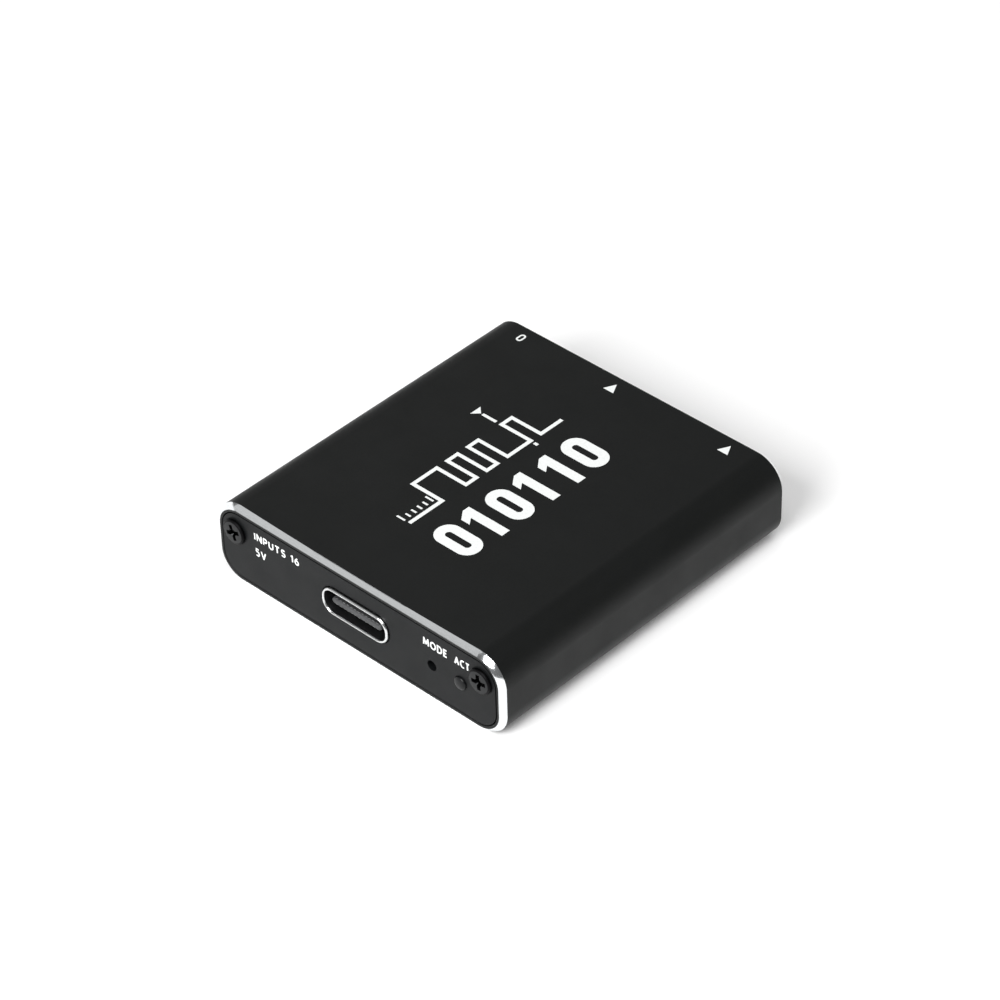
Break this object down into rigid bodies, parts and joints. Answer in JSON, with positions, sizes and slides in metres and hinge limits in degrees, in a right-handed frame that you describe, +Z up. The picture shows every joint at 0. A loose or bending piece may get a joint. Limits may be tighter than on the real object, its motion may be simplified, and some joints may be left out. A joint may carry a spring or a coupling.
{
  "type": "logic analyzer",
  "caption": "Pocket USB logic analyzer: flat black aluminium tube case, dark end panels, USB-C port, pinhole mode key, activity light and a rear probe pin header.",
  "frame": {"origin": "middle of the underside of the case", "axes": "+X right as seen from the USB end, +Y towards the probe header, +Z up"},
  "size_m": [0.039, 0.042, 0.0098],
  "materials": {
    "case_black": "fine bead-blasted black anodised, with a bright diamond-cut chamfer at both ends",
    "panel_dark": "matt dark grey anodised with white print",
    "screw_black": "black oxide",
    "board_mask": "dark green solder mask",
    "shell_steel": "bright nickel-plated steel",
    "plastic_black": "moulded glass-filled black plastic",
    "tin_plate": "tin-plated sheet",
    "led_body": "cast resin",
    "lens_smoke": "smoke-grey clear plastic",
    "pin_gold": "gold flash over nickel",
    "chip_black": "moulded epoxy",
    "ferrite_grey": "pressed ferrite",
    "fuse_green": "printed polymer",
    "capacitor_ochre": "moulded resin",
    "pad_grey": "soft silicone heat pad"
  },
  "bodies": {
    "case": {"housing_tube": "case_black", "front_panel": "panel_dark", "rear_panel": "panel_dark", "front_screw_left": "screw_black", "front_screw_right": "screw_black", "rear_screw_left": "screw_black", "rear_screw_right": "screw_black", "main_board": "board_mask", "usb_shell": "shell_steel", "mode_switch_spring": "shell_steel", "usb_tongue": "plastic_black", "mode_switch_base": "plastic_black", "header_body": "plastic_black", "mode_switch_frame": "tin_plate", "crystal": "tin_plate", "act_led": "led_body", "act_light_pipe": "lens_smoke", "header_pin_low_00": "pin_gold", "header_pin_low_01": "pin_gold", "header_pin_low_02": "pin_gold", "header_pin_low_03": "pin_gold", "header_pin_low_04": "pin_gold", "header_pin_low_05": "pin_gold", "header_pin_low_06": "pin_gold", "header_pin_low_07": "pin_gold", "header_pin_low_08": "pin_gold", "header_pin_low_09": "pin_gold", "header_pin_low_10": "pin_gold", "header_pin_low_11": "pin_gold", "header_pin_high_00": "pin_gold", "header_pin_high_01": "pin_gold", "header_pin_high_02": "pin_gold", "header_pin_high_03": "pin_gold", "header_pin_high_04": "pin_gold", "header_pin_high_05": "pin_gold", "header_pin_high_06": "pin_gold", "header_pin_high_07": "pin_gold", "header_pin_high_08": "pin_gold", "header_pin_high_09": "pin_gold", "header_pin_high_10": "pin_gold", "header_pin_high_11": "pin_gold", "fpga": "chip_black", "usb_bridge": "chip_black", "memory_chip": "chip_black", "flash_chip": "chip_black", "core_regulator": "chip_black", "io_regulator": "chip_black", "usb_guard_array": "chip_black", "input_buffer_1": "chip_black", "input_buffer_2": "chip_black", "input_buffer_3": "chip_black", "input_buffer_4": "chip_black", "core_inductor": "ferrite_grey", "io_inductor": "ferrite_grey", "supply_fuse": "fuse_green", "bulk_capacitor": "capacitor_ochre", "thermal_pad": "pad_grey"},
    "mode_button": {"mode_plunger": "plastic_black"}
  },
  "joints": [
    {"name": "mode_press", "type": "slide", "parent": "case", "child": "mode_button", "axis": [0, 1, 0], "range_m": [0, 0.00025], "stiffness_N_per_m": 6400}
  ]
}
